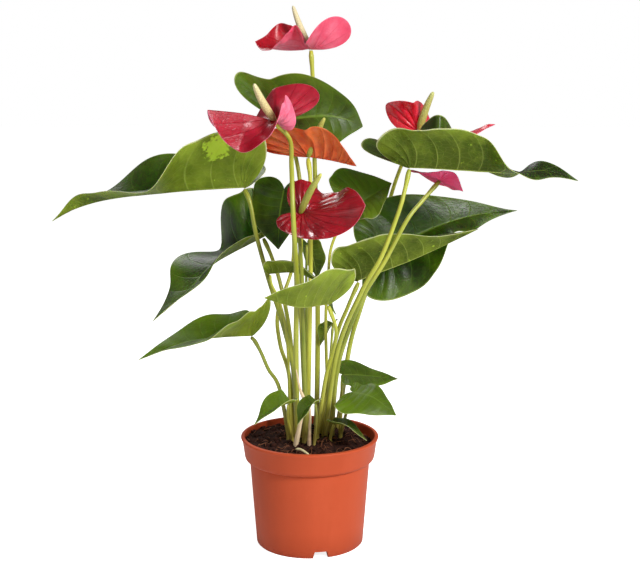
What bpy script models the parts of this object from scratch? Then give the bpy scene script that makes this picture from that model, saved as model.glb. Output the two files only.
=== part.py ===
"""Potted anthurium: a flowering plant in a plain round nursery pot.

The plant is an assembly of separate pieces. Every leaf is a heart-shaped blade on a
petiole, every flower is a heart-shaped spathe with a spadix on a stalk, and all of
them grow out of a low mound of soil in the pot. The origin is the centre of the
pot's underside, +Z is up and the plant is seen from -Y.

Distances are in millimetres and angles in degrees until a mesh is made.
"""
import math

import bmesh
import bpy
import numpy as np
from mathutils import Matrix

MM = 0.001
GAP = 0.3                  # clearance between neighbouring pieces

# ---- driving dimensions of the pot and its soil --------------------------------
POT_HEIGHT = 96.0
POT_SIDES = 48
RIM_RADIUS = 60.0
FOOT_RADIUS = 46.8
WALL = 1.7
COLLAR_BOTTOM = 78.0       # the deep collar ends here and steps in
COLLAR_LOW_RADIUS = 56.6
STEP_BOTTOM = 75.0
BODY_TOP_RADIUS = 52.6
LIP_BOTTOM = 92.5          # the lip stands out from the collar above this
LIP_STEP = 1.3
LIP_SLOPE = 2.0            # height over which the lip swells out
FOOT_HEIGHT = 6.5          # the floor is raised this far on a ring foot
NOTCH_COUNT = 3
NOTCH_WIDTH = 13.0
NOTCH_LENGTH = 24.0
NOTCH_RISE = 6.0
NOTCH_TURN = 12.0          # the front notch lies this far round from -Y
DRAIN_COUNT = 6
DRAIN_RADIUS = 5.0
DRAIN_CIRCLE = 27.0
CROWN_CENTRE = (5.0, 8.0)  # top of the soil mound, where every stem comes out
CROWN_RADIUS = 34.0
CROWN_SLOPE = 12.0         # the mound falls over this distance
CROWN_Z = 93.5
SOIL_EDGE_Z = 90.0
SOIL_TILT = 2.5            # the soil lies this much higher at the left than at the right

# ---- driving dimensions of the plant -------------------------------------------
BLADE_THICKNESS = 0.8
VEIN_LINES = 12            # lines from midrib or base to margin in half a blade
VEIN_STEPS = 4
SPINE_STEPS = 12           # steps between two given points of a midrib
TURN_SPAN = 0.08           # share of the midrib each way that its direction is taken over
BEND_SAMPLES = 6           # points that follow the bend from midrib to margin
STEM_TIP_RADIUS = 0.7
SPADIX_SIDES = 8

COLOURS = {
    "terracotta_plastic": ((0.62, 0.14, 0.055), 0.45),
    "potting_soil": ((0.035, 0.017, 0.011), 0.95),
    "leaf_green": ((0.085, 0.17, 0.022), 0.35),
    "stem_green": ((0.33, 0.46, 0.09), 0.45),
    "spathe_red": ((0.52, 0.012, 0.028), 0.22),
    "spathe_orange": ((0.55, 0.085, 0.03), 0.3),
    "spathe_pink": ((0.75, 0.06, 0.12), 0.3),
    "spadix_cream": ((0.80, 0.66, 0.30), 0.55),
    "dry_sheath": ((0.62, 0.36, 0.20), 0.7),
}

# ---- leaves ----------------------------------------------------------------------
# spine: midrib from the petiole to the tip. width: half-widths left and right of the
# midrib, seen from the petiole with the upper side up. full: from 0, a slim drawn-out
# tip, to 1, a broad one. fold: upward angles of the left and right half, from the base
# to the tip. roll: at base and tip, positive lifts the right half. back: how far the
# left and right lobe reach behind the petiole, as a part of the midrib. lift: upward
# angle of the left and right lobe. curl: extra upward bend of the margin. lobe_fold: the
# fold at the far end of the lobes, where it differs. flare: how much wider the lobes
# grow towards that end. stem: the petiole from the soil up, without its last point.
LEAVES = {
    "leaf_left_large": dict(
        spine=((-55, 4, 311), (-109, 0, 308), (-164, -2, 303), (-196, -2, 295), (-219, -4, 283)),
        width=(58, 50),
        fold=((70, 66, 52, 15, 28, 130), (30, 35, 42, 52, 25, 10)), roll=(0, 0),
        back=(0.13, 0.12), lift=(20, 10), full=0.5,
        curl=((-10, -10), (-10, -10)), radius=(2.3, 1.7),
        stem=((-9, 5), (-14, 2, 154), (-23, -1, 195), (-35, -4, 235), (-45, -5, 273),
              (-50, -2, 299))),
    "leaf_back_top": dict(
        spine=((-25, 36, 366), (11, 44, 370), (31, 50, 367), (47, 56, 360)), width=(47, 40),
        fold=((58, 58), (0, -12, -28, -55, -75, -80)), roll=(0, 0), back=(0.5, 0.3),
        lift=(28, 10), full=1.2,
        curl=((-12, -12), (-12, -12)), radius=(2.3, 1.7),
        stem=((-3, 11), (-8, 16, 217), (-8, 30, 260), (-8, 46, 305), (-14, 50, 340))),
    "leaf_left_middle": dict(
        spine=((-41, 38, 264), (-83, 24, 243), (-103, 4, 224), (-133, -18, 200)), width=(16, 46),
        fold=((45, 30, 20), (80, 80, 0, 15, 12, 0)), roll=(0, 0), back=(0.08, 0.14),
        lift=(0, 30), full=0.75,
        curl=((-8, -8), (-8, -8)), radius=(2.1, 1.6),
        stem=((-11, 17), (-17, 16, 179), (-25, 22, 223), (-33, 31, 247))),
    "leaf_behind_left": dict(
        spine=((-22, 30, 307), (-26, 24, 283), (-27, 18, 256)), width=(20, 30),
        fold=((10, 0), (14, 5)), roll=(0, 0), back=(0.16, 0.2), lift=(0, 0), full=0.9,
        curl=((0, 0), (0, 0)), radius=(1.9, 1.4),
        stem=((-15, 10), (-18, 8, 147), (-26, 14, 174), (-28, 28, 200), (-16, 46, 235),
              (-15, 46, 272))),
    "leaf_low_left": dict(
        spine=((-49, -20, 188), (-79, -32, 189), (-107, -40, 186), (-142, -48, 174)),
        width=(38, 36),
        fold=((62, 50, 32, 15, 8, 0), (30, 30, 24, 50)), roll=(0, 0), back=(0.12, 0.12),
        flare=(0.35, 0), lift=(20, 10), full=0.4,
        curl=((-8, -8), (-8, -8)), radius=(1.9, 1.4),
        stem=((-18, -6), (-26, -12, 141), (-35, -15, 158), (-41, -17, 173), (-46, -18, 183))),
    "leaf_centre_pale": dict(
        spine=((16, -50, 221), (-8, -77, 224), (-35, -103, 237)), width=(37, 20),
        fold=((66, 64), (70, 40)), roll=(0, 0), back=(0.3, 0.3), lift=(10, -50), full=1.0,
        curl=((-8, -8), (-8, -8)), radius=(1.9, 1.4),
        stem=((6, -8), (14, -22, 153), (21, -36, 184), (22, -46, 201))),
    "leaf_right_dark": dict(
        spine=((62, 54, 246), (104, 68, 265), (147, 80, 278), (191, 88, 282)), width=(44, 44),
        fold=((14, 6), (0, 5, 30, 62, 24, 0)), roll=(-70, -66), back=(0.1, 0.2), lift=(0, 0),
        full=0.2,
        curl=((-8, -8), (-8, -8)), radius=(2.3, 1.7),
        stem=((25, 25), (35, 38, 163), (44, 44, 195), (54, 49, 224))),
    "leaf_right_pale": dict(
        spine=((42, 14, 229), (84, 16, 245), (115, 14, 260), (146, 10, 276)), width=(34, 42),
        fold=((66, 40), (66, 68, 66, 58, 48, 45)), roll=(0, 0), back=(0.12, 0.15), lift=(20, 20),
        full=0.5,
        curl=((-8, -8), (-8, -8)), radius=(2.1, 1.6),
        stem=((9, 8), (22, 4, 177), (33, 7, 208))),
    "leaf_right_high": dict(

        spine=((83, -18, 330), (125, -22, 328), (167, -26, 327), (196, -30, 329),
              (221, -36, 321)), width=(46, 44),
        fold=((22, 56, 84, 34, 3, -8, 38, 60), (56, 59, 64, 66, 60, 12, -30, -40)), roll=(0, 0),
        back=(0.31, 0.2), lift=(12, 5), full=0.4,
        curl=((-10, -10), (-10, -10)), radius=(2.3, 1.7),
        stem=((13, -2), (24, -19, 176), (44, -29, 229), (60, -30, 258), (74, -27, 295),
              (79, -23, 312))),
    "leaf_behind_right": dict(
        spine=((40, 30, 293), (54, 36, 301), (72, 40, 312)), width=(37, 22),
        fold=((65, 62), (-20, -30)), roll=(0, 0), back=(0.25, 0.2), lift=(10, 0), full=0.8,
        curl=((-20, -20), (-20, -20)), radius=(1.5, 1.2),
        stem=((17, 14), (14, 16, 187), (16, 20, 228), (19, 26, 258), (31, 30, 282))),
    "leaf_round_dark": dict(
        spine=((-2, 33, 259), (3, 38, 246), (7, 42, 226)), width=(16, 16),
        fold=((10, 0), (10, 0)), roll=(0, 0), back=(0.2, 0.2), lift=(0, 0), full=0.8,
        curl=((0, 0), (0, 0)), radius=(1.4, 1.1),
        stem=((-3, 23), (-3, 24, 183), (-3, 29, 232))),
    "leaf_young_folded": dict(
        spine=((-33, -17, 241), (-10, -20, 242), (14, -22, 232)), width=(12, 14),
        fold=((60, 45), (65, 45)), roll=(0, 0), back=(0.1, 0.1), lift=(0, 0), full=0.5,
        curl=((0, 0), (0, 0)), radius=(1.3, 1.0),
        stem=((-17, 1), (-19, -10, 181), (-25, -14, 216), (-32, -16, 232))),
    "leaf_behind_stems": dict(
        spine=((20, 28, 189), (15, 33, 182), (9, 39, 166)), width=(11, 9),
        fold=((20, 10), (20, 10)), roll=(0, 0), back=(0.1, 0.1), lift=(0, 0), full=0.5,
        curl=((0, 0), (0, 0)), radius=(1.3, 1.0),
        stem=((10, 21), (17, 25, 149))),
    "leaf_low_right_dark": dict(
        spine=((29, 10, 147), (50, 18, 144), (79, 26, 139)), width=(20, 24),
        fold=((12, 8), (8, 0)), roll=(-20, -20), back=(0.1, 0.1), lift=(0, 0), full=0.6,
        curl=((-10, -10), (-10, -10)), radius=(1.5, 1.2),
        stem=((27, 13), (28, 11, 128))),
    "leaf_low_right_pale": dict(
        spine=((37, -26, 141), (54, -36, 139), (73, -46, 126)), width=(18, 30),
        fold=((-2, -5), (8, -10)), roll=(-20, -24), back=(0.15, 0.15), lift=(0, -10), full=0.7,
        curl=((-10, -10), (-10, -10)), radius=(1.5, 1.2),
        stem=((27, -1), (31, -14, 117))),
    "leaf_base_left": dict(
        spine=((-18, -34, 133), (-32, -46, 131), (-46, -54, 120)), width=(15, 15),
        fold=((30, 10), (45, 20)), roll=(0, 0), back=(0.1, 0.1), lift=(0, 0), full=0.5,
        curl=((0, 0), (0, 0)), radius=(1.3, 1.0),
        stem=((-15, -15), (-18, -28, 117))),
    "leaf_base_centre": dict(
        spine=((5, -42, 136), (-3, -50, 133), (-10, -58, 121)), width=(10, 10),
        fold=((35, 10), (35, 10)), roll=(0, 0), back=(0.1, 0.1), lift=(0, 0), full=0.5,
        curl=((0, 0), (0, 0)), radius=(1.2, 1.0),
        stem=((4, -21), (6, -34, 118))),
    "leaf_base_right": dict(
        spine=((21, -20, 112), (35, -29, 111), (49, -36, 101)), width=(9, 11),
        fold=((20, 10), (30, 10)), roll=(0, 0), back=(0.1, 0.1), lift=(0, 0), full=0.5,
        curl=((0, 0), (0, 0)), radius=(1.2, 1.0),
        stem=((18, -13), (19, -16, 103))),
}

# ---- flowers ---------------------------------------------------------------------
# As for the leaves; spadix: the far end of the spadix, which starts at the spine.
FLOWERS = {
    "top": dict(
        colour="spathe_red", spadix=(-15, 77, 465), spadix_radius=3.0,
        spine=((1, 71, 427), (-22, 75, 426), (-41, 79, 429), (-49, 81, 434)), width=(32, 34),
        fold=((15, 40, 52, 36, 22, 8, 0, 0), (30, 30, 35, 55, 80, 90)), roll=(0, 0),
        back=(0.72, 0.2), lobe_fold=(85, 30), flare=(0.35, 0), lift=(-10, 12), full=1.3,
        curl=((-20, -20), (-20, -20)), radius=(2.4, 1.8),
        stem=((6, 29), (7, 45, 182), (6, 55, 267), (4, 65, 337), (3, 70, 392))),
    "left": dict(
        colour="spathe_red", spadix=(-44, -40, 400), spadix_radius=3.4,
        spine=((-28, -20, 369), (-53, -34, 376), (-81, -50, 380)), width=(34, 32),
        fold=((-14, -45, -80, -85, -85, -80), (74, 10, -20, -30, -30, -30, -30, -30)),
        roll=(0, 0), back=(0.22, 0.68), flare=(0, 0.3), lift=(-30, 16), full=1.6,
        curl=((170, 170, 90, 0, 0, 0), (-25, -25)), radius=(2.4, 1.8),
        stem=((-11, -13), (-11, -23, 140), (-11, -36, 189), (-10, -52, 242), (-12, -63, 287),
              (-13, -61, 311), (-14, -46, 335), (-16, -19, 354))),
    "orange": dict(
        colour="spathe_orange", spadix=(13, -2, 371), spadix_radius=3.0,
        spine=((-1, 8, 337), (20, 4, 334), (40, 0, 330)), width=(9, 38),
        fold=((60, 76), (52, 60, 62, 60, 58, 55)), roll=(0, 0), back=(0.9, 1.1),
        lobe_fold=(80, 66), flare=(0, -0.2), lift=(-6, -6), full=0.8,
        curl=((-20, -20), (-20, -20)), radius=(2.3, 1.7),
        stem=((-2, -2), (0, -6, 191), (1, -5, 243), (1, -3, 277), (1, 1, 316))),
    "front": dict(
        colour="spathe_red", spadix=(10, -62, 330), spadix_radius=3.0,
        spine=((-7, -36, 295), (20, -42, 298), (46, -50, 303)), width=(30, 24),
        fold=((15, 0, -33, -30, -8, 0), (20, 15, 5, -5, -10, -10)), roll=(-62, -62),
        back=(0.2, 0.36), lift=(0, 35), full=1.6,
        curl=((-15, -15), (-15, -15)), radius=(2.2, 1.6),
        stem=((-4, -15), (-4, -24, 140), (-5, -30, 187), (-6, -32, 239), (-8, -33, 278))),
    "right_back": dict(
        colour="spathe_red", spadix=(107, 40, 391), spadix_radius=3.4,
        spine=((96, 52, 356), (120, 47, 357), (141, 44, 355), (162, 41, 363)), width=(34, 30),
        fold=((76, 12, -8, -8, -6, 0, 10, 60), (-12, -8, -5, -5, 0, 10)), roll=(0, 0),
        back=(0.42, 0.3), flare=(0.6, 0), lift=(-12, -5), full=0.7,
        curl=((100, 20, 0, 0, 0, 0, 0, 0), (-10, -10)), radius=(2.2, 1.6),
        stem=((17, 33), (29, 52, 162), (54, 78, 222), (72, 84, 290), (80, 76, 318),
              (88, 60, 341))),
    "right_pink": dict(
        colour="spathe_pink", spadix=(113, 30, 322), spadix_radius=2.4,
        spine=((111, 12, 317), (121, 10, 313), (131, 8, 308)), width=(24, 17),
        fold=((-16, -16), (46, 48, 52, 56, 58, 50)), roll=(0, 0), back=(1.2, 1.2),
        lobe_fold=(-12, 2), lift=(0, 0), full=0.9,
        curl=((0, 0), (-10, -10)), radius=(2.3, 1.7),
        stem=((19, 5), (23, -6, 150), (30, -10, 181), (45, -16, 221), (64, -13, 252),
              (82, -7, 285), (95, 2, 300))),
}

# ---- dry sheaths at the foot of the stems, from the soil up ------------------------
SHEATHS = {
    "dry_sheath_long": dict(
        spine=((-12, -22, 100), (-7, -28, 117), (-4, -30, 133), (-8, -31, 146), (-11, -31, 162)),
        width=2.3, turn=0),
    "dry_sheath_short": dict(
        spine=((0, -22, 103), (1, -27, 119), (0, -29, 133)), width=1.9, turn=20),
}


def smooth_route(points, steps):
    """Points along a Catmull-Rom curve through the given points."""
    points = np.array(points, float)
    ends = np.vstack([2 * points[0] - points[1], points, 2 * points[-1] - points[-2]])
    route = []
    for before, start, end, after in zip(ends, ends[1:], ends[2:], ends[3:]):
        for t in np.arange(steps) / steps:
            route.append(0.5 * (2 * start + (end - before) * t
                                + (2 * before - 5 * start + 4 * end - after) * t ** 2
                                + (3 * start - before - 3 * end + after) * t ** 3))
    route.append(points[-1])
    return np.array(route)


def unit(vector):
    return vector / np.linalg.norm(vector)


def material(name):
    """The Principled material of one finish, made once."""
    if name in bpy.data.materials:
        return bpy.data.materials[name]
    colour, roughness = COLOURS[name]
    finish = bpy.data.materials.new(name)
    finish.use_nodes = True
    shader = finish.node_tree.nodes["Principled BSDF"]
    shader.inputs["Base Color"].default_value = (*colour, 1.0)
    shader.inputs["Roughness"].default_value = roughness
    shader.inputs["Metallic"].default_value = 0.0
    return finish


def add_object(name, data, finish):
    part = bpy.data.objects.new(name, data)
    bpy.context.collection.objects.link(part)
    data.materials.append(material(finish))
    return part


def mesh_from(name, vertices, faces, merge=0.01):
    """A smooth mesh in metres from millimetre points, with coincident points merged."""
    mesh = bpy.data.meshes.new(name)
    mesh.from_pydata([tuple(v * MM) for v in np.asarray(vertices, float)], [], faces)
    shape = bmesh.new()
    shape.from_mesh(mesh)
    bmesh.ops.remove_doubles(shape, verts=shape.verts, dist=merge * MM)
    bmesh.ops.triangulate(shape, faces=shape.faces)
    bmesh.ops.recalc_face_normals(shape, faces=shape.faces)
    shape.to_mesh(mesh)
    shape.free()
    mesh.shade_smooth()
    return mesh


# ---- pot and soil ------------------------------------------------------------------
def lathe(profile, sides):
    """Turn a closed (radius, z) profile, whose ends lie on the axis, about Z."""
    vertices, faces = [], []
    for radius, z in profile:
        for k in range(sides):
            angle = 2 * math.pi * (k + 0.5) / sides
            vertices.append((radius * math.cos(angle), radius * math.sin(angle), z))
    for row in range(len(profile) - 1):
        for k in range(sides):
            a, b = row * sides + k, row * sides + (k + 1) % sides
            faces.append((a, b, b + sides, a + sides))
    return np.array(vertices), faces


def wall_radius(z):
    """Outer radius of the pot: a tapered body below a tapered collar."""
    heights = (0, STEP_BOTTOM, COLLAR_BOTTOM, LIP_BOTTOM, LIP_BOTTOM + LIP_SLOPE, POT_HEIGHT)
    radii = (FOOT_RADIUS, BODY_TOP_RADIUS, COLLAR_LOW_RADIUS, RIM_RADIUS - LIP_STEP,
             RIM_RADIUS, RIM_RADIUS)
    return float(np.interp(z, heights, radii))


def cutter(name, mesh, target):
    tool = bpy.data.objects.new(name, mesh)
    bpy.context.collection.objects.link(tool)
    tool.hide_render = True
    tool.display_type = "WIRE"
    cut = target.modifiers.new(name, "BOOLEAN")
    cut.operation = "DIFFERENCE"
    cut.solver = "EXACT"
    cut.object = tool
    return tool


def make_pot():
    outer = [(0, FOOT_HEIGHT), (FOOT_RADIUS - 5, FOOT_HEIGHT), (FOOT_RADIUS - 4, 0),
             (FOOT_RADIUS - 0.8, 0), (FOOT_RADIUS, 1.2)]
    outer += [(wall_radius(z), z)
              for z in (STEP_BOTTOM, COLLAR_BOTTOM, LIP_BOTTOM, LIP_BOTTOM + LIP_SLOPE)]
    outer += [(RIM_RADIUS - 0.6, POT_HEIGHT), (RIM_RADIUS - 3, POT_HEIGHT)]
    inner = [(wall_radius(z) - WALL, z) for z in (LIP_BOTTOM, COLLAR_BOTTOM + 1, STEP_BOTTOM + 1)]
    inner += [(FOOT_RADIUS - WALL + 0.4, FOOT_HEIGHT + 4),
              (FOOT_RADIUS - WALL - 2, FOOT_HEIGHT + WALL), (0, FOOT_HEIGHT + WALL)]
    pot = add_object("pot", mesh_from("pot", *lathe(outer + inner, POT_SIDES)),
                     "terracotta_plastic")
    notches = bmesh.new()
    for k in range(NOTCH_COUNT):
        turn = math.radians(NOTCH_TURN) + k * math.tau / NOTCH_COUNT
        made = bmesh.ops.create_cube(notches, size=1)["verts"]
        bmesh.ops.scale(notches, verts=made,
                        vec=(NOTCH_WIDTH * MM, NOTCH_LENGTH * MM, 2 * NOTCH_RISE * MM))
        bmesh.ops.translate(notches, verts=made, vec=(0, -(FOOT_RADIUS + 5) * MM, 0))
        bmesh.ops.rotate(notches, verts=made, cent=(0, 0, 0),
                         matrix=Matrix.Rotation(turn, 3, "Z"))
    notch_mesh = bpy.data.meshes.new("foot_notches")
    notches.to_mesh(notch_mesh)
    notches.free()
    cutter("foot_notches", notch_mesh, pot)
    drains = bmesh.new()
    for k in range(DRAIN_COUNT):
        angle = k * math.tau / DRAIN_COUNT
        made = bmesh.ops.create_cone(drains, cap_ends=True, segments=10,
                                     radius1=DRAIN_RADIUS * MM, radius2=DRAIN_RADIUS * MM,
                                     depth=30 * MM)["verts"]
        bmesh.ops.translate(drains, verts=made, vec=(DRAIN_CIRCLE * MM * math.cos(angle),
                                                     DRAIN_CIRCLE * MM * math.sin(angle), 0))
    drain_mesh = bpy.data.meshes.new("drain_holes")
    drains.to_mesh(drain_mesh)
    drains.free()
    cutter("drain_holes", drain_mesh, pot)


def soil_height(x, y):
    """A flat-topped mound about the crown that falls towards the wall."""
    away = math.hypot(x - CROWN_CENTRE[0], y - CROWN_CENTRE[1])
    fall = min(max((away - CROWN_RADIUS) / CROWN_SLOPE, 0.0), 1.0)
    edge = SOIL_EDGE_Z - SOIL_TILT * x / RIM_RADIUS
    return CROWN_Z + (edge - CROWN_Z) * fall


def make_soil():
    floor = FOOT_HEIGHT + WALL + GAP
    side = [(0, floor), (FOOT_RADIUS - WALL - 3, floor),
            (FOOT_RADIUS - WALL - GAP, FOOT_HEIGHT + 5),
            (wall_radius(STEP_BOTTOM) - WALL - GAP - 0.2, STEP_BOTTOM),
            (wall_radius(COLLAR_BOTTOM) - WALL - GAP - 0.4, COLLAR_BOTTOM + 2)]
    edge = wall_radius(SOIL_EDGE_Z) - WALL - GAP - 0.4
    top = [(radius, 0) for radius in (edge, 50, 44, 39, 34, 29, 24, 14, 0)]
    vertices, faces = lathe(side + top, POT_SIDES)
    for vertex in vertices[len(side) * POT_SIDES:]:
        vertex[2] = soil_height(vertex[0], vertex[1])
    add_object("soil", mesh_from("soil", vertices, faces), "potting_soil")


# ---- blades ------------------------------------------------------------------------
def bezier(points, t):
    a, b, c, d = (np.array(p, float) for p in points)
    return a * (1 - t) ** 3 + 3 * b * t * (1 - t) ** 2 + 3 * c * t ** 2 * (1 - t) + d * t ** 3


def heart_margin(s, back, full):
    """Margin of half a heart: tip at s = 0, widest at 0.45, lobe end at 0.8, sinus at 1."""
    if s < 0.45:
        return bezier(((1, 0), (0.66 + 0.14 * full, 0.06 + 0.3 * full),
                       (0.34 + 0.22 * full, 1.0), (0.12, 1.0)), s / 0.45)
    if s < 0.8:
        return bezier(((0.12, 1.0), (-0.3 * back, 1.0), (-back, 0.85), (-back, 0.5)),
                      (s - 0.45) / 0.35)
    return bezier(((-back, 0.5), (-back, 0.2), (-0.4 * back, 0.02), (0, 0)),
                  (s - 0.8) / 0.2)


def flat_half(back, full, lines, steps):
    """Rows of (x, y) along the veins of a half heart, x and y from 0 to 1."""
    base_from = 0.6        # veins beyond this share start at the petiole
    rows = []
    for i in range(lines + 1):
        s = i / lines
        start = np.array((0.9 * max(1 - s / base_from, 0.0), 0.0))
        end = np.array(heart_margin(s, back, full))
        bend = start + (end - start) * 0.5 + np.array((0.10, 0.0)) * math.sin(math.pi * s)
        rows.append([start * (1 - r) ** 2 + bend * 2 * r * (1 - r) + end * r ** 2
                     for r in np.arange(steps + 1) / steps])
    return rows


def along_blade(x, values):
    """Value at share x of the midrib, smooth between values that crowd at the base."""
    knots = np.linspace(0, 1, len(values)) ** 1.5
    k = min(int(np.searchsorted(knots, x, side="right")) - 1, len(values) - 2)
    t = (x - knots[k]) / (knots[k + 1] - knots[k])
    return values[k] + (values[k + 1] - values[k]) * t * t * (3 - 2 * t)


def blade_mesh(name, leaf, lines=VEIN_LINES, steps=VEIN_STEPS):
    """Fold, bend and thicken a flat heart along its midrib."""
    spine = smooth_route(leaf["spine"], SPINE_STEPS)
    lengths = np.concatenate([[0], np.cumsum(np.linalg.norm(np.diff(spine, axis=0), axis=1))])
    whole = lengths[-1]
    lobe_fold = leaf.get("lobe_fold", [angles[0] for angles in leaf["fold"]])
    flare = leaf.get("flare", (0, 0))

    def on_spine(x):
        return np.array([np.interp(x, lengths, spine[:, k]) for k in range(3)])

    def frame_at(u):
        along = unit(on_spine(min(u + TURN_SPAN, 1) * whole)
                     - on_spine(max(u - TURN_SPAN, 0) * whole))
        right = unit(np.cross(along, (0, 0, 1)))
        over = np.cross(right, along)
        turn = math.radians(np.interp(u, (0, 1), leaf["roll"]))
        return (along, right * math.cos(turn) + over * math.sin(turn),
                over * math.cos(turn) - right * math.sin(turn))

    vertices, faces = [], []
    for half, sign in enumerate((-1, 1)):
        first = len(vertices)
        for row in flat_half(leaf["back"][half], leaf["full"], lines, steps):
            for x, y in row:
                reach = max(x, 0)
                along, right, over = frame_at(reach)
                behind = min(max(-x / leaf["back"][half], 0), 1)
                change = lobe_fold[half] - leaf["fold"][half][0]
                rise = math.radians(along_blade(reach, leaf["fold"][half])
                                    + change * behind * (2 - behind))
                curl = math.radians(along_blade(reach, leaf["curl"][half]))
                angles = rise + curl * y * (np.arange(BEND_SAMPLES) + 0.5) / BEND_SAMPLES
                wide = y * leaf["width"][half] * (1 + flare[half] * behind)
                out = wide * np.cos(angles).mean()
                up = wide * np.sin(angles).mean()
                point = on_spine(reach * whole) + right * out * sign + over * up
                if x < 0:
                    lift = math.radians(leaf["lift"][half])
                    point += x * whole * (along * math.cos(lift) - over * math.sin(lift))
                vertices.append(point)
        for i in range(lines):
            for j in range(steps):
                a = first + i * (steps + 1) + j
                quad = (a, a + steps + 1, a + steps + 2, a + 1)
                faces.append(quad if sign > 0 else quad[::-1])

    shape = bmesh.new()
    made = [shape.verts.new(v) for v in vertices]
    for face in faces:
        shape.faces.new([made[k] for k in face])
    bmesh.ops.remove_doubles(shape, verts=shape.verts, dist=0.05)
    bmesh.ops.dissolve_degenerate(shape, edges=shape.edges, dist=0.05)
    bmesh.ops.triangulate(shape, faces=shape.faces)
    shape.normal_update()
    upper = {v: shape.verts.new(v.co + v.normal * BLADE_THICKNESS / 2)
             for v in list(shape.verts)}
    middle = list(upper)
    lower = {v: shape.verts.new(v.co - v.normal * BLADE_THICKNESS / 2) for v in middle}
    rim = [(e, e.link_loops[0]) for e in shape.edges if e.is_boundary]
    sheet = list(shape.faces)
    for edge, loop in rim:
        a, b = loop.vert, loop.link_loop_next.vert
        shape.faces.new((upper[b], upper[a], lower[a], lower[b]))
    for face in sheet:
        shape.faces.new([upper[v] for v in face.verts])
        shape.faces.new([lower[v] for v in reversed(face.verts)])
    bmesh.ops.delete(shape, geom=middle, context="VERTS")
    bmesh.ops.triangulate(shape, faces=shape.faces)
    bmesh.ops.scale(shape, verts=shape.verts, vec=(MM, MM, MM))
    mesh = bpy.data.meshes.new(name)
    shape.to_mesh(mesh)
    shape.free()
    mesh.shade_smooth()
    along, right, over = frame_at(0)
    return mesh, spine[0], over


def add_stem(name, leaf, base, over):
    """A tapered round stem from the soil to just under the blade."""
    foot = leaf["stem"][0]
    seat = CROWN_Z + GAP
    last = base - over * (BLADE_THICKNESS / 2 + GAP + 0.8 * STEM_TIP_RADIUS)
    bend = (*foot, seat + 3.0)
    route = np.vstack([[(*foot, seat)], smooth_route([bend, *leaf["stem"][1:], last], 2)])
    curve = bpy.data.curves.new(name, "CURVE")
    curve.dimensions = "3D"
    curve.bevel_depth = MM
    curve.bevel_resolution = 1
    curve.use_fill_caps = True
    line = curve.splines.new("POLY")
    line.points.add(len(route) - 1)
    thick, thin = leaf["radius"]
    for k, (point, place) in enumerate(zip(line.points, route)):
        point.co = (*(place * MM), 1.0)
        point.radius = thick + (thin - thick) * k / (len(route) - 1)
    line.points[-1].radius = STEM_TIP_RADIUS
    line.use_smooth = True
    add_object(name, curve, "stem_green")


# ---- flowers -----------------------------------------------------------------------
def add_spadix(name, flower, base, over):
    """A finger-shaped spadix standing on the spathe, narrow where it grows out."""
    end = np.array(flower["spadix"], float)
    start = base + over * (BLADE_THICKNESS / 2 + GAP)
    axis = unit(end - start)
    start = start + axis * 0.9
    side = unit(np.cross(axis, (0.3, 1, 0.2)))
    other = np.cross(axis, side)
    radius = flower["spadix_radius"]
    rings = ((0, 0.12), (0.08, 0.32), (0.26, 0.85), (0.5, 1.0), (0.75, 0.8), (0.94, 0.55),
             (1.0, 0.2))
    vertices, faces = [], []
    for share, thick in rings:
        for k in range(SPADIX_SIDES):
            angle = 2 * math.pi * k / SPADIX_SIDES
            ring = side * math.cos(angle) + other * math.sin(angle)
            vertices.append(start + (end - start) * share + ring * radius * thick)
    for row in range(len(rings) - 1):
        for k in range(SPADIX_SIDES):
            a = row * SPADIX_SIDES + k
            b = row * SPADIX_SIDES + (k + 1) % SPADIX_SIDES
            faces.append((a, b, b + SPADIX_SIDES, a + SPADIX_SIDES))
    faces.append(tuple(range(SPADIX_SIDES)))
    faces.append(tuple((len(rings) - 1) * SPADIX_SIDES + k for k in range(SPADIX_SIDES)))
    add_object(name, mesh_from(name, vertices, faces), "spadix_cream")


# ---- dry sheaths -------------------------------------------------------------------
def add_sheath(name, sheath):
    """A papery strip, curved across, that tapers upwards from the soil."""
    route = smooth_route(sheath["spine"], 3)
    route[0][2] = CROWN_Z + GAP
    vertices, faces = [], []
    across = 5
    for k, place in enumerate(route):
        wide = sheath["width"] * (1 - 0.75 * k / (len(route) - 1))
        for layer in (0.0, 0.8):
            for j in range(across):
                angle = math.radians(-60 + 30 * j + 90 + sheath["turn"])
                reach = wide - layer * wide / sheath["width"]
                vertices.append(place + np.array((reach * math.cos(angle),
                                                  -reach * math.sin(angle), 0)))
    per = 2 * across
    for k in range(len(route) - 1):
        a, b = k * per, (k + 1) * per
        for j in range(across - 1):
            faces.append((a + j, a + j + 1, b + j + 1, b + j))
            faces.append((a + across + j + 1, a + across + j, b + across + j, b + across + j + 1))
        faces.append((a, b, b + across, a + across))
        faces.append((a + across - 1, a + per - 1, b + per - 1, b + across - 1))
    last = (len(route) - 1) * per
    for start in (0, last):
        for j in range(across - 1):
            faces.append((start + j, start + j + 1, start + across + j + 1, start + across + j))
    add_object(name, mesh_from(name, vertices, faces), "dry_sheath")


def main():
    for old in list(bpy.data.objects):
        bpy.data.objects.remove(old)
    make_pot()
    make_soil()
    for name, leaf in LEAVES.items():
        mesh, base, over = blade_mesh(name, leaf)
        add_object(name, mesh, "leaf_green")
        add_stem(name.replace("leaf", "petiole"), leaf, base, over)
    for name, flower in FLOWERS.items():
        mesh, base, over = blade_mesh("spathe_" + name, flower)
        add_object("spathe_" + name, mesh, flower["colour"])
        add_stem("stalk_" + name, flower, base, over)
        add_spadix("spadix_" + name, flower, base, over)
    for name, sheath in SHEATHS.items():
        add_sheath(name, sheath)


main()
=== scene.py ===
"""Potted anthurium: the finished look of a flowering plant in a nursery pot.

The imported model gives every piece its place. Distances are in millimetres and angles
in degrees until a mesh is made, and +Z is up with the plant's front towards -Y.
"""
import math
import random

import bmesh
import bpy
import numpy as np
from mathutils import Matrix, Vector, noise


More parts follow.
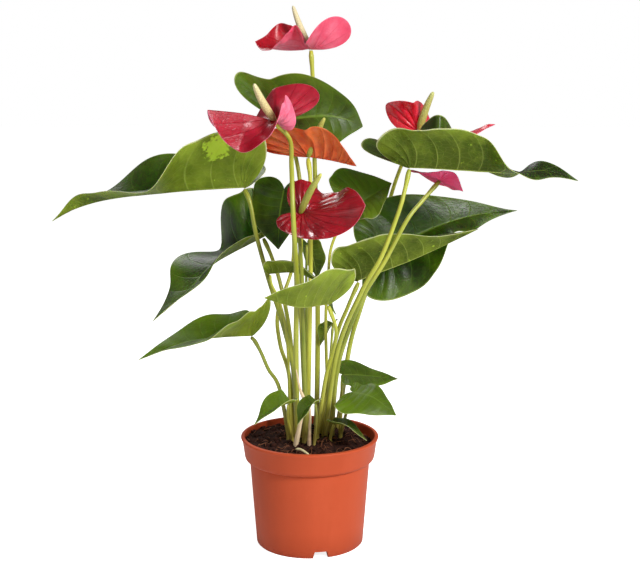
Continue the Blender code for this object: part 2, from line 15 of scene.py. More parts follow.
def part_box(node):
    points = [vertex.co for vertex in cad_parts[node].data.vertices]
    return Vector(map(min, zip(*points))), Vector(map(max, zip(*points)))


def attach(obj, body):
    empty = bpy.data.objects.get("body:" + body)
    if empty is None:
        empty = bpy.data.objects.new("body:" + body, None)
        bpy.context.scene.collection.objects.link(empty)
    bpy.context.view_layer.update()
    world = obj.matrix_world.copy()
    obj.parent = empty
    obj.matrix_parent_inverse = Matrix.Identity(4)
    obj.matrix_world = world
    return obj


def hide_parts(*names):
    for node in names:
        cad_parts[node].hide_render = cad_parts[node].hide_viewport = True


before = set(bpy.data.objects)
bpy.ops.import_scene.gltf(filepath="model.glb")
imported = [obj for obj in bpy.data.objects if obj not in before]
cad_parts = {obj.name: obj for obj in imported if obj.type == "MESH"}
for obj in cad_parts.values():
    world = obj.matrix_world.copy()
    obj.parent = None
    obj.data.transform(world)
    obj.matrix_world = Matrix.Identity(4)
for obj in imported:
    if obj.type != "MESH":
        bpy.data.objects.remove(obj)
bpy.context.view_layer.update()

# ---- nursery pot -------------------------------------------------------------------
# A round tapered pot of terracotta-coloured polypropylene, injection moulded in one
# piece: a deep collar, a rolled lip, a raised floor on a ring foot with three notches,
# and six drain holes. It stands on the ring.
MM = 0.001
POT_LOW, POT_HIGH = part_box("pot")
POT_HEIGHT = POT_HIGH.z / MM
RIM_RADIUS = 60.0
FOOT_RADIUS = 46.8
FOOT_HEIGHT = 6.5
WALL = 1.7
POT_STEPS = 192            # faces round the pot
NOTCH_WIDTH = 13.0
NOTCH_TURN = 12.0          # the front notch lies this far round from -Y
NOTCH_HEIGHT = 6.0
DRAIN_RADIUS = 5.0
DRAIN_CIRCLE = 27.0
DRAIN_COUNT = 6
LIP_ROUND = 1.2


def paint(hex_colour):
    """An sRGB hex colour as the linear colour that a shader wants."""
    parts = [int(hex_colour[k:k + 2], 16) / 255 for k in (1, 3, 5)]
    linear = [p / 12.92 if p <= 0.04045 else ((p + 0.055) / 1.055) ** 2.4 for p in parts]
    return (*linear, 1.0)


def add(tree, kind, inputs, out=0, **settings):
    """Add a shader node with its settings, and set or link its inputs."""
    node = tree.nodes.new("ShaderNode" + kind)
    for name, value in settings.items():
        setattr(node, name, value)
    for name, value in inputs.items():
        if isinstance(value, bpy.types.NodeSocket):
            tree.links.new(value, node.inputs[name])
        else:
            node.inputs[name].default_value = value
    return node.outputs[out]


def mix(tree, share, first, second):
    """Two colours mixed: the first at a share of 0, the second at 1."""
    first, second = (paint(c) if isinstance(c, str) else c for c in (first, second))
    return add(tree, "MixRGB", {"Fac": share, "Color1": first, "Color2": second})


def times(tree, first, second):
    """The product of two values."""
    return add(tree, "Math", {0: first, 1: second}, operation="MULTIPLY")


def plus(tree, first, second, **settings):
    """The sum of two values."""
    return add(tree, "Math", {0: first, 1: second}, operation="ADD", **settings)


def ramp(tree, value, start, end, low=0.0, high=1.0, **settings):
    """Low where the value is start, high where it is end, and held beyond both."""
    return add(tree, "MapRange", {"Value": value, "From Min": start, "From Max": end,
               "To Min": low, "To Max": high}, **settings)


def clouds(tree, place, scale, detail=2.0, roughness=0.5):
    """Soft noise; in metres, a scale of 1000 makes blobs about 1 mm wide."""
    return add(tree, "TexNoise", {"Vector": place, "Scale": scale, "Detail": detail,
               "Roughness": roughness})


def bumps(tree, strength, distance, height, *under, **settings):
    """A relief of the given height in metres, on top of another one if given."""
    inputs = {"Strength": strength, "Distance": distance, "Height": height}
    if under:
        inputs["Normal"] = under[0]
    return add(tree, "Bump", inputs, **settings)


def new_mesh(name, shape):
    """A mesh made from a bmesh, which is freed."""
    mesh = bpy.data.meshes.new(name)
    shape.to_mesh(mesh)
    shape.free()
    return mesh


def new_object(name, data):
    """An object in the scene."""
    thing = bpy.data.objects.new(name, data)
    bpy.context.collection.objects.link(thing)
    return thing


def new_finish(name, **sockets):
    """A Principled material; sockets are its uniform values."""
    finish = bpy.data.materials.new(name)
    finish.use_nodes = True
    shader = finish.node_tree.nodes["Principled BSDF"]
    for socket, value in sockets.items():
        shader.inputs[socket.replace("_", " ")].default_value = value
    return finish, finish.node_tree, shader.inputs


def finish_piece(name, shape, finishes, slot, *nodes):
    """Turn a finished bmesh into a smooth piece that stands for CAD nodes."""
    mesh = new_mesh(name, shape)
    mesh.shade_smooth()
    piece = new_object(name, mesh)
    for finish in finishes:
        mesh.materials.append(finish)
    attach(piece, "root")
    if nodes:
        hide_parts(*nodes)
    return piece


def pot_profile():
    """Outline of the wall, from the axis under the floor, up outside and down inside."""
    top = POT_HEIGHT
    body = [(FOOT_RADIUS, 0.9), (FOOT_RADIUS + 0.4, NOTCH_HEIGHT), (52.3, 73.6), (52.2, 74.2)]
    collar = [(52.9, 74.6), (54.6, 75.3), (56.1, 76.6), (56.7, 78.4), (58.5, 91.6), (59.2, 92.9)]
    lip = [(RIM_RADIUS + LIP_ROUND * (math.cos(a) - 1), top + LIP_ROUND * (math.sin(a) - 1))
           for a in (0.0, 0.5, 1.0, math.pi / 2)]
    lip += [(RIM_RADIUS - 3.0, top), (RIM_RADIUS - 3.4, top - 0.6)]
    inside = [(57.0, 92.0), (54.9, 79.0), (51.0, 75.0), (FOOT_RADIUS - 1.0, FOOT_HEIGHT + 5),
              (FOOT_RADIUS - 3.6, FOOT_HEIGHT + WALL), (0.0, FOOT_HEIGHT + WALL)]
    under = [(0.0, FOOT_HEIGHT), (FOOT_RADIUS - 5, FOOT_HEIGHT), (FOOT_RADIUS - 4, 0.6),
             (FOOT_RADIUS - 3.4, 0.0), (FOOT_RADIUS - 0.9, 0.0)]
    return under + body + collar + lip + inside


shape = bmesh.new()
chain = [shape.verts.new((radius * MM, 0, z * MM)) for radius, z in pot_profile()]
for start, end in zip(chain, chain[1:]):
    shape.edges.new((start, end))
bmesh.ops.spin(shape, geom=shape.verts[:] + shape.edges[:], cent=(0, 0, 0), axis=(0, 0, 1),
               angle=math.tau, steps=POT_STEPS, use_merge=True)
bmesh.ops.remove_doubles(shape, verts=shape.verts, dist=0.00001)
for vertex in shape.verts:
    reach = math.hypot(vertex.co.x, vertex.co.y) / MM
    if vertex.co.z > (NOTCH_HEIGHT - 0.1) * MM or reach < FOOT_RADIUS - 4.5:
        continue
    bearing = math.degrees(math.atan2(vertex.co.y, vertex.co.x)) + 90 - NOTCH_TURN
    off_centre = abs((bearing + 60) % 120 - 60)
    if math.radians(off_centre) * FOOT_RADIUS < NOTCH_WIDTH / 2:
        vertex.co.z = NOTCH_HEIGHT * MM
bmesh.ops.recalc_face_normals(shape, faces=shape.faces)

# moulded polypropylene: satin, evenly coloured, with faint flow marks some 17 mm wide
# and 70 mm tall, a grain of about 1 mm and a darker band at the foot
pot_finish, tree, socket = new_finish("moulded_terracotta_polypropylene", Roughness=0.42,
                                      Specular_IOR_Level=0.15)
place = add(tree, "TexCoord", {}, out="Object")
flow = clouds(tree, add(tree, "Mapping", {"Vector": place, "Scale": (60, 60, 14)}), 1.0, 4.0)
speck = clouds(tree, place, 900.0, 2.0)
height = add(tree, "SeparateXYZ", {"Vector": place}, out="Z")
# darker towards the foot, over its lowest 22 mm
darker_toward_foot = ramp(tree, height, 0.0, 0.022, 0.55, 0.0)
colour = mix(tree, flow, "#b84a28", "#c65634")
colour = mix(tree, darker_toward_foot, colour, "#a24224")
tree.links.new(colour, socket["Base Color"])
rough = ramp(tree, flow, 0.0, 1.0, 0.36, 0.5)
tree.links.new(rough, socket["Roughness"])
grain = bumps(tree, 0.12, 0.0004, speck)
tree.links.new(grain, socket["Normal"])

pot = finish_piece("nursery_pot", shape, [pot_finish], "terracotta_plastic", "pot")
drill = bmesh.new()
for k in range(DRAIN_COUNT):
    spot = Vector((DRAIN_CIRCLE * MM, 0, FOOT_HEIGHT * MM))
    spot.rotate(Matrix.Rotation(k * math.tau / DRAIN_COUNT, 3, "Z"))
    bmesh.ops.create_cone(drill, cap_ends=True, segments=32, radius1=DRAIN_RADIUS * MM,
                          radius2=DRAIN_RADIUS * MM, depth=12 * MM,
                          matrix=Matrix.Translation(spot))
drill_tool = new_object("drain_drill", new_mesh("drain_drill", drill))
cut = pot.modifiers.new("drain holes", "BOOLEAN")
cut.object = drill_tool
cut.solver = "EXACT"
bpy.context.view_layer.update()
drilled = bpy.data.meshes.new_from_object(pot.evaluated_get(
    bpy.context.evaluated_depsgraph_get()))
pot.modifiers.remove(cut)
pot.data = drilled
bpy.data.objects.remove(drill_tool)
pot.data.set_sharp_from_angle(angle=math.radians(50))

# ---- potting soil --------------------------------------------------------------------
# Dark peat mixed with coir: a crumbly mound round the stems that falls towards the
# wall, with loose clods and reddish fibres lying on it.
CROWN_CENTRE = (5.0, 8.0)
CROWN_RADIUS = 34.0
CROWN_SLOPE = 12.0
CROWN_Z = 93.5
SOIL_EDGE_Z = 90.0
SOIL_TILT = 2.5
SOIL_ROUND = 180           # faces round the surface
SOIL_RINGS = 90
FIBRE_REACH = 54.5         # the middle line of a fibre stays this near to the axis
CLOD_COUNT = 420
FIBRE_COUNT = 170
dice = random.Random(7)


def shaped_grid(across, along, placing):
    """A grid bent by placing(u, v), which gives points in mm for u and v from 0 to 1."""
    sheet = bmesh.new()
    sheet.loops.layers.uv.new("UVMap")
    bmesh.ops.create_grid(sheet, x_segments=across, y_segments=along, size=0.5,
                          calc_uvs=True)
    flat = np.array([vertex.co for vertex in sheet.verts]) + 0.5
    for vertex, spot in zip(sheet.verts, placing(flat[:, 0], flat[:, 1])):
        vertex.co = spot * MM
    bmesh.ops.remove_doubles(sheet, verts=sheet.verts, dist=0.02 * MM)
    return sheet


def soil_height(x, y):
    """A flat-topped mound about the crown that falls towards the wall."""
    away = np.hypot(x - CROWN_CENTRE[0], y - CROWN_CENTRE[1])
    fall = np.clip((away - CROWN_RADIUS) / CROWN_SLOPE, 0, 1)
    edge = SOIL_EDGE_Z - SOIL_TILT * x / RIM_RADIUS
    return CROWN_Z + (edge - CROWN_Z) * fall


def crumbs(x, y):
    """Height of the crumbs on the soil: lumps of about 9, 3.5 and 1.4 mm."""
    tall = 0.0
    for wide, high in ((9.0, 2.2), (3.5, 1.3), (1.4, 0.6)):
        tall += high * noise.noise((x / wide, y / wide, wide))
    return tall


def soil_body(u, v):
    """From the middle of the underside, up the wall and over the surface."""
    angle = u * math.tau
    radius = np.interp(v, (0, 0.04, 0.08, 0.12, 0.16, 1.0), (0, 42, 45, 50.5, 55.8, 0))
    z = np.interp(v, (0, 0.04, 0.08, 0.12, 0.16), (7.2, 7.2, 12, 72, 88))
    x, y = radius * np.cos(angle), radius * np.sin(angle)
    rough = np.array([crumbs(a, b) for a, b in zip(x, y)])
    z = np.where(v > 0.155, soil_height(x, y) + rough - 0.6, z)
    return np.stack([x, y, z], axis=1)


# damp peat and coir: matt, very dark brown, in lumps of about 4 mm and crumbs of 0.7 mm,
# a few of them paler
soil_finish, tree, socket = new_finish("damp_peat_and_coir", Roughness=0.93,
                                       Specular_IOR_Level=0.2)
place = add(tree, "TexCoord", {}, out="Object")
coarse = clouds(tree, place, 260.0, 5.0, 0.7)
fine = clouds(tree, place, 1500.0, 3.0)
shade = ramp(tree, coarse, 0.35, 0.68)
colour = mix(tree, shade, "#150906", "#46241a")
light_crumb = ramp(tree, fine, 0.64, 0.76, 0.0, 0.45)
colour = mix(tree, light_crumb, colour, "#7d4a34")
tree.links.new(colour, socket["Base Color"])
lumps = bumps(tree, 0.8, 0.0012, coarse)
lumps = bumps(tree, 0.6, 0.0005, fine, lumps)
tree.links.new(lumps, socket["Normal"])

shape = shaped_grid(SOIL_ROUND, SOIL_RINGS, soil_body)
bmesh.ops.recalc_face_normals(shape, faces=shape.faces)
finish_piece("soil_mound", shape, [soil_finish], "potting_soil", "soil")


def soil_spot(most=54.0):
    """A random place on the soil surface."""
    reach = most * math.sqrt(dice.random())
    angle = dice.uniform(0, math.tau)
    x, y = reach * math.cos(angle), reach * math.sin(angle)
    return Vector((x, y, float(soil_height(x, y)) + crumbs(x, y)))


shape = bmesh.new()
for k in range(CLOD_COUNT):
    size = dice.choice((1.0, 1.3, 1.7, 2.3, 3.0)) * dice.uniform(0.7, 1.1)
    spot = soil_spot()
    made = bmesh.ops.create_icosphere(shape, subdivisions=1, radius=size * MM)["verts"]
    turn = Matrix.Rotation(dice.uniform(0, 6), 3, Vector((dice.random(), 0.4, 0.7)))
    for vertex in made:
        lump = 1 + 0.45 * noise.noise(vertex.co / MM * 0.9 + Vector((k, 0, 0)))
        vertex.co = turn @ (vertex.co * lump)
        vertex.co.z *= 0.7
        vertex.co += spot * MM
finish_piece("soil_clods", shape, [soil_finish], "potting_soil")


def tube_along(route, radii, around):
    """A round tube along a route; its ends narrow to points where the radius is 0."""
    route = np.asarray(route, float)
    radii = np.asarray(radii, float)
    ahead = np.gradient(route, axis=0)
    ahead /= np.linalg.norm(ahead, axis=1)[:, None]
    side = np.cross(ahead[0], (0.31, 0.9, 0.27))      # off the route, whichever way
    sides = []
    for direction in ahead:
        side = side - direction * np.dot(side, direction)
        side = side / np.linalg.norm(side)
        sides.append(side)
    sides = np.array(sides)
    others = np.cross(ahead, sides)

    def placing(u, v):
        k = np.rint(v * (len(route) - 1)).astype(int)
        angle = (u * math.tau)[:, None]
        ring = sides[k] * np.cos(angle) + others[k] * np.sin(angle)
        return route[k] + ring * radii[k][:, None]

    tube = shaped_grid(around, len(route) - 1, placing)
    bmesh.ops.holes_fill(tube, edges=[e for e in tube.edges if e.is_boundary])
    bmesh.ops.recalc_face_normals(tube, faces=tube.faces)
    return tube


def join_into(whole, extra):
    """Add one bmesh to another."""
    carrier = new_mesh("carrier", extra)
    whole.from_mesh(carrier)
    bpy.data.meshes.remove(carrier)


# coir: dull reddish-brown plant fibre
coir_finish, tree, socket = new_finish("coir_fibre", Roughness=0.8)
place = add(tree, "TexCoord", {}, out="Object")
tint = clouds(tree, place, 120.0)
colour = mix(tree, tint, "#4a2213", "#a3663f")
tree.links.new(colour, socket["Base Color"])

shape = bmesh.new()
for k in range(FIBRE_COUNT):
    start = soil_spot(52.0)
    heading = dice.uniform(0, math.tau)
    stretch = dice.uniform(4.0, 13.0)
    bow = dice.uniform(-0.8, 0.8)
    strand = []
    for t in (0.0, 0.25, 0.5, 0.75, 1.0):
        turn = heading + bow * t
        x = start.x + stretch * t * math.cos(turn)
        y = start.y + stretch * t * math.sin(turn)
        past = math.hypot(x, y) / FIBRE_REACH
        if past > 1:
            x, y = x / past, y / past
        lift = 0.5 + 1.6 * math.sin(math.pi * t)
        strand.append((x, y, float(soil_height(x, y)) + crumbs(x, y) + lift))
    thick = dice.uniform(0.14, 0.34)
    join_into(shape, tube_along(strand, (0.02, thick, thick, thick, 0.02), 3))
finish_piece("coir_fibres", shape, [coir_finish], "potting_soil")


def smooth_route(points, steps):
    """Points along a Catmull-Rom curve through the given points."""
    points = np.array(points, float)
    ends = np.vstack([2 * points[0] - points[1], points, 2 * points[-1] - points[-2]])
    route = []
    for before, start, end, after in zip(ends, ends[1:], ends[2:], ends[3:]):
        for t in np.arange(steps) / steps:
            route.append(0.5 * (2 * start + (end - before) * t
                                + (2 * before - 5 * start + 4 * end - after) * t ** 2
                                + (3 * start - before - 3 * end + after) * t ** 3))
    route.append(points[-1])
    return np.array(route)


# a bare young root that lies on the soil: smooth, waxy and ivory
root_finish, tree, socket = new_finish("ivory_young_root", Roughness=0.5)
tint = clouds(tree, add(tree, "TexCoord", {}, out="Object"), 160.0, 3.0)
tree.links.new(mix(tree, tint, "#c9b67c", "#efe6bc"), socket["Base Color"])
root_route = smooth_route([(-11.5, -38.0, 94.6), (-7.0, -41.0, 95.0), (-2.5, -45.0, 93.4),
                           (0.8, -49.0, 91.6)], 6)
shape = tube_along(root_route, np.interp(np.arange(len(root_route)), (0, 2, 14, 18),
                                         (0.5, 1.15, 1.0, 0.4)), 12)
finish_piece("surface_root", shape, [root_finish], "dry_sheath")

# ---- stems ---------------------------------------------------------------------------
# Every blade stands on a petiole and every flower on a stalk: smooth, round, juicy
# green stems from the crown, a little swollen and bent where the blade is joined on.
STEM_SIDES = 14
STEM_STEPS = 7             # rings between two points of a route
STEM_TONES = (0.35, 0.8, 0.55, 0.95, 0.2, 0.7)
NECK_DROP = 0.9            # a stem ends this far below the midrib


def stem_tube(stem, thick, thin, top):
    """A stem from just below the soil to the blade, with a swollen neck at the top."""
    foot = stem[0]
    route = smooth_route([(*foot, CROWN_Z + 3), *stem[1:], top], STEM_STEPS)
    route = np.vstack([[(*foot, CROWN_Z - 2)], [(*foot, CROWN_Z)], route])
    gaps = np.linalg.norm(np.diff(route, axis=0), axis=1)
    run = np.concatenate([[0], np.cumsum(gaps)])
    left = run[-1] - run
    radii = np.interp(run, (0, 14, run[-1]), (thick * 1.25, thick, thin))
    radii *= 1 + 0.28 * np.exp(-((left - 6) / 5.0) ** 2)
    radii[-1] *= 0.8
    return tube_along(route, radii, STEM_SIDES)


def tint_piece(piece, tone):
    """Store how pale the piece is, for its finish to read."""
    layer = piece.data.attributes.new("tone", "FLOAT", "POINT")
    layer.data.foreach_set("value", np.full(len(piece.data.vertices), tone, np.float32))


def plant_stem(node, stem, radius, base, over, turn):
    """Make the stem that carries one blade; turn picks its tone."""
    tube = stem_tube(stem, *radius, base - over * NECK_DROP)
    piece = finish_piece(node + "_stem", tube, [stem_finish], "stem_green", node)
    tint_piece(piece, STEM_TONES[turn % len(STEM_TONES)])


# living stem: waxy green skin over juicy tissue, satin, finely streaked along its length,
# paler and browner near the soil
stem_finish, tree, socket = new_finish("waxy_green_stem", Roughness=0.38)
place = add(tree, "TexCoord", {}, out="Object")
uv = add(tree, "TexCoord", {}, out="UV")
streak = clouds(tree, add(tree, "Mapping", {"Vector": uv, "Scale": (14, 3, 1)}), 1.0, 3.0)
patch = clouds(tree, place, 22.0, 2.0)
height = add(tree, "SeparateXYZ", {"Vector": place}, out="Z")
tone = add(tree, "Attribute", {}, out="Fac", attribute_name="tone")
patch = ramp(tree, patch, 0.3, 0.7, -0.25, 0.25)
share = plus(tree, tone, patch, use_clamp=True)
colour = mix(tree, share, "#566c12", "#c3c63e")
colour = mix(tree, ramp(tree, streak, 0.4, 0.7, 0.0, 0.45), colour, "#d2d066")
low = ramp(tree, height, 0.09, 0.14, 0.75, 0.0)
colour = mix(tree, low, colour, "#a48a4c")
tree.links.new(colour, socket["Base Color"])
ridge = bumps(tree, 0.25, 0.0003, streak)
tree.links.new(ridge, socket["Normal"])

# ---- leaves --------------------------------------------------------------------------
# Leathery heart-shaped blades, dark and glossy above and pale and duller below, with
# sunken side veins and a rolled margin that carries a painted highlight. Many are folded
# up along the midrib, so that the pale underside shows.
#
# spine: midrib from the petiole to the tip. width: half-widths left and right of the
# midrib, seen from the petiole with the upper side up. full: 0 for a slim drawn-out tip,
# 1 and more for a broad one. fold: upward angles of the left and right half, from the base
# to the tip. roll: at base and tip, positive lifts the right half. back: how far the
# left and right lobe reach behind the petiole, as a part of the midrib. lift: upward
# angle of the left and right lobe. curl: extra upward bend of the margin, as one angle or
# as angles of each half from base to tip. lobe_fold: the fold at the far end of the
# lobes. flare: how much wider the lobes grow towards that end. stem: the petiole from
# the soil up. roll, lift, curl, lobe_fold and flare are given where a blade has them.
LEAVES = {
    "leaf_left_large": dict(
        spine=((-55, 4, 311), (-109, 0, 308), (-164, -2, 303), (-196, -2, 295), (-219, -4, 283)),
        width=(58, 50),
        fold=((70, 66, 52, 15, 28, 130), (30, 35, 42, 52, 25, 10)), back=(0.13, 0.12),
        lift=(20, 10), full=0.5, curl=-10, radius=(2.3, 1.7),
        stem=((-9, 5), (-14, 2, 154), (-23, -1, 195), (-35, -4, 235), (-45, -5, 273),
              (-50, -2, 299))),
    "leaf_back_top": dict(
        spine=((-25, 36, 366), (11, 44, 370), (31, 50, 367), (47, 56, 360)), width=(47, 40),
        fold=((58, 58), (0, -12, -28, -55, -75, -80)), back=(0.5, 0.3), lift=(28, 10), full=1.2,
        curl=-12, radius=(2.3, 1.7),
        stem=((-3, 11), (-8, 16, 217), (-8, 30, 260), (-8, 46, 305), (-14, 50, 340))),
    "leaf_left_middle": dict(
        spine=((-41, 38, 264), (-83, 24, 243), (-103, 4, 224), (-133, -18, 200)), width=(16, 46),
        fold=((45, 30, 20), (80, 80, 0, 15, 12, 0)), back=(0.08, 0.14), lift=(0, 30), full=0.75,
        curl=-8, radius=(2.1, 1.6),
        stem=((-11, 17), (-17, 16, 179), (-25, 22, 223), (-33, 31, 247))),
    "leaf_behind_left": dict(
        spine=((-22, 30, 307), (-26, 24, 283), (-27, 18, 256)), width=(20, 30),
        fold=((10, 0), (14, 5)), back=(0.16, 0.2), full=0.9, radius=(1.9, 1.4),
        stem=((-15, 10), (-18, 8, 147), (-26, 14, 174), (-28, 28, 200), (-16, 46, 235),
              (-15, 46, 272))),
    "leaf_low_left": dict(
        spine=((-49, -20, 188), (-79, -32, 189), (-107, -40, 186), (-142, -48, 174)),
        width=(38, 36),
        fold=((62, 50, 32, 15, 8, 0), (30, 30, 24, 50)), back=(0.12, 0.12), flare=(0.35, 0),
        lift=(20, 10), full=0.4, curl=-8, radius=(1.9, 1.4),
        stem=((-18, -6), (-26, -12, 141), (-35, -15, 158), (-41, -17, 173), (-46, -18, 183))),
    "leaf_centre_pale": dict(
        spine=((16, -50, 221), (-8, -77, 224), (-35, -103, 237)), width=(37, 20),
        fold=((66, 64), (70, 40)), back=(0.3, 0.3), lift=(10, -50), full=1.0, curl=-8,
        radius=(1.9, 1.4),
        stem=((6, -8), (14, -22, 153), (21, -36, 184), (22, -46, 201))),
    "leaf_right_dark": dict(
        spine=((62, 54, 246), (104, 68, 265), (147, 80, 278), (191, 88, 282)), width=(44, 44),
        fold=((14, 6), (0, 5, 30, 62, 24, 0)), roll=(-70, -66), back=(0.1, 0.2), full=0.2,
        curl=-8, radius=(2.3, 1.7),
        stem=((25, 25), (35, 38, 163), (44, 44, 195), (54, 49, 224))),
    "leaf_right_pale": dict(
        spine=((42, 14, 229), (84, 16, 245), (115, 14, 260), (146, 10, 276)), width=(34, 42),
        fold=((66, 40), (66, 68, 66, 58, 48, 45)), back=(0.12, 0.15), lift=(20, 20), full=0.5,
        curl=-8, radius=(2.1, 1.6),
        stem=((9, 8), (22, 4, 177), (33, 7, 208))),
    "leaf_right_high": dict(
        spine=((83, -18, 330), (125, -22, 328), (167, -26, 327), (196, -30, 329),
              (221, -36, 321)), width=(46, 44),
        fold=((22, 56, 84, 34, 3, -8, 38, 60), (56, 59, 64, 66, 60, 12, -30, -40)),
        back=(0.31, 0.2), lift=(12, 5), full=0.4, curl=-10, radius=(2.3, 1.7),
        stem=((13, -2), (24, -19, 176), (44, -29, 229), (60, -30, 258), (74, -27, 295),
              (79, -23, 312))),
    "leaf_behind_right": dict(
        spine=((40, 30, 293), (54, 36, 301), (72, 40, 312)), width=(37, 22),
        fold=((65, 62), (-20, -30)), back=(0.25, 0.2), lift=(10, 0), full=0.8, curl=-20,
        radius=(1.5, 1.2),
        stem=((17, 14), (14, 16, 187), (16, 20, 228), (19, 26, 258), (31, 30, 282))),
    "leaf_round_dark": dict(
        spine=((-2, 33, 259), (3, 38, 246), (7, 42, 226)), width=(16, 16),
        fold=((10, 0), (10, 0)), back=(0.2, 0.2), full=0.8, radius=(1.4, 1.1),
        stem=((-3, 23), (-3, 24, 183), (-3, 29, 232))),
    "leaf_young_folded": dict(
        spine=((-33, -17, 241), (-10, -20, 242), (14, -22, 232)), width=(12, 14),
        fold=((60, 45), (65, 45)), back=(0.1, 0.1), full=0.5, radius=(1.3, 1.0),
        stem=((-17, 1), (-19, -10, 181), (-25, -14, 216), (-32, -16, 232))),
    "leaf_behind_stems": dict(
        spine=((20, 28, 189), (15, 33, 182), (9, 39, 166)), width=(11, 9),
        fold=((20, 10), (20, 10)), back=(0.1, 0.1), full=0.5, radius=(1.3, 1.0),
        stem=((10, 21), (17, 25, 149))),
    "leaf_low_right_dark": dict(
        spine=((29, 10, 147), (50, 18, 144), (79, 26, 139)), width=(20, 24),
        fold=((12, 8), (8, 0)), roll=(-20, -20), back=(0.1, 0.1), full=0.6, curl=-10,
        radius=(1.5, 1.2),
        stem=((27, 13), (28, 11, 128))),
    "leaf_low_right_pale": dict(
        spine=((37, -26, 141), (54, -36, 139), (73, -46, 126)), width=(18, 30),
        fold=((-2, -5), (8, -10)), roll=(-20, -24), back=(0.15, 0.15), lift=(0, -10), full=0.7,
        curl=-10, radius=(1.5, 1.2),
        stem=((27, -1), (31, -14, 117))),
    "leaf_base_left": dict(
        spine=((-18, -34, 133), (-32, -46, 131), (-46, -54, 120)), width=(15, 15),
        fold=((30, 10), (45, 20)), back=(0.1, 0.1), full=0.5, radius=(1.3, 1.0),
        stem=((-15, -15), (-18, -28, 117))),
    "leaf_base_centre": dict(
        spine=((5, -42, 136), (-3, -50, 133), (-10, -58, 121)), width=(10, 10),
        fold=((35, 10), (35, 10)), back=(0.1, 0.1), full=0.5, radius=(1.2, 1.0),
        stem=((4, -21), (6, -34, 118))),
    "leaf_base_right": dict(
        spine=((21, -20, 112), (35, -29, 111), (49, -36, 101)), width=(9, 11),
        fold=((20, 10), (30, 10)), back=(0.1, 0.1), full=0.5, radius=(1.2, 1.0),
        stem=((18, -13), (19, -16, 103))),
}
BLADE_THICKNESS = 0.5
LEAF_VEINS = 12            # side veins in half a leaf
BIG_LEAF = 28.0            # mean half-width above which a leaf gets the finer grid
LEAF_RELIEF = 0.022        # height of the quilting as a share of the mean half-width
LEAF_WAVE = 0.07           # swing of the margin, as the same share
MARGIN_WAVES = 3.2         # waves along the margin of half a blade
SPINE_STEPS = 12           # steps between two given points of a midrib
TURN_SPAN = 0.08           # share of the midrib each way that its direction is taken over
BEND_SAMPLES = 6           # samples of the bend between the midrib and a point
# colour of each leaf, from 0, dark, to 1, pale: partly the leaf's own green and partly
# painted light and shade, paler for leaves that should look lit, darker for shaded ones
LEAF_TONE_AND_LIGHT = {
    "leaf_left_large": 0.33, "leaf_back_top": 0.3, "leaf_left_middle": 0.25,
    "leaf_behind_left": 0.15, "leaf_low_left": 0.6, "leaf_centre_pale": 0.35,
    "leaf_right_dark": 0.2, "leaf_right_pale": 0.15, "leaf_right_high": 0.0,
    "leaf_behind_right": 0.95, "leaf_round_dark": 0.1, "leaf_young_folded": 0.2,
    "leaf_behind_stems": 0.2, "leaf_low_right_dark": 0.4, "leaf_low_right_pale": 0.7,
    "leaf_base_left": 0.8, "leaf_base_centre": 0.35, "leaf_base_right": 0.5,
}


def bezier(a, b, c, d, t):
    """Points at t along a cubic curve, its end points where t is outside 0 to 1."""
    a, b, c, d = (np.array(p, float) for p in (a, b, c, d))
    t = np.clip(t, 0, 1)[:, None]
    return a * (1 - t) ** 3 + 3 * b * t * (1 - t) ** 2 + 3 * c * t ** 2 * (1 - t) + d * t ** 3


def heart_margin(s, back, full):
    """Margin of half a heart: tip at s = 0, widest at 0.45, lobe end at 0.8, sinus at 1."""
    side = bezier((1, 0), (0.66 + 0.14 * full, 0.06 + 0.3 * full),
                  (0.34 + 0.22 * full, 1.0), (0.12, 1.0), s / 0.45)
    lobe = bezier((0.12, 1.0), (-0.3 * back, 1.0), (-back, 0.85), (-back, 0.5),
                  (s - 0.45) / 0.35)
    sinus = bezier((-back, 0.5), (-back, 0.2), (-0.4 * back, 0.02), (0, 0), (s - 0.8) / 0.2)
    s = s[:, None]
    return np.where(s < 0.45, side, np.where(s < 0.8, lobe, sinus))


def flat_heart(s, r, back, full, fan=False):
    """Points (x, y) of half a heart, at share r along the side vein that ends at s.

    A leaf's veins leave the midrib all along it, a spathe's fan out from its base."""
    start = np.stack([(0.12 if fan else 0.9) * np.maximum(1 - s / 0.6, 0), 0 * s], axis=1)
    end = heart_margin(s, back, full)
    bend = (start + end) * 0.5
    if fan:
        bulge = np.sin(math.pi * np.clip(s / 0.5, 0, 1))
        bend += np.stack([-0.12 * bulge, 0.14 * bulge], axis=1)
    else:
        bend[:, 0] += 0.10 * np.sin(math.pi * s)
    r = r[:, None]
    return start * (1 - r) ** 2 + bend * 2 * r * (1 - r) + end * r ** 2


def blade_frame(leaf):
    """Functions that give the midrib's place and its three directions, x from 0 to 1."""
    spine = smooth_route(leaf["spine"], SPINE_STEPS)
    lengths = np.concatenate([[0], np.cumsum(np.linalg.norm(np.diff(spine, axis=0), axis=1))])
    whole = lengths[-1]

    def on_spine(x):
        return np.stack([np.interp(x * whole, lengths, spine[:, k]) for k in range(3)], axis=1)

    def directions(x):
        along = (on_spine(np.minimum(x + TURN_SPAN, 1))
                 - on_spine(np.maximum(x - TURN_SPAN, 0)))
        along /= np.linalg.norm(along, axis=1)[:, None]
        right = np.cross(along, (0, 0, 1))
        right /= np.linalg.norm(right, axis=1)[:, None]
        over = np.cross(right, along)
        turn = np.radians(np.interp(x, (0, 1), leaf.get("roll", (0, 0))))[:, None]
        return (along, right * np.cos(turn) + over * np.sin(turn),
                over * np.cos(turn) - right * np.sin(turn))

    return whole, on_spine, directions


def along_blade(x, values):
    """Values at shares x of the midrib, smooth between values that crowd at the base."""
    values = np.array(values, float)
    knots = np.linspace(0, 1, len(values)) ** 1.5
    k = np.clip(np.searchsorted(knots, x, side="right") - 1, 0, len(values) - 2)
    t = (x - knots[k]) / (knots[k + 1] - knots[k])
    return values[k] + (values[k + 1] - values[k]) * t * t * (3 - 2 * t)


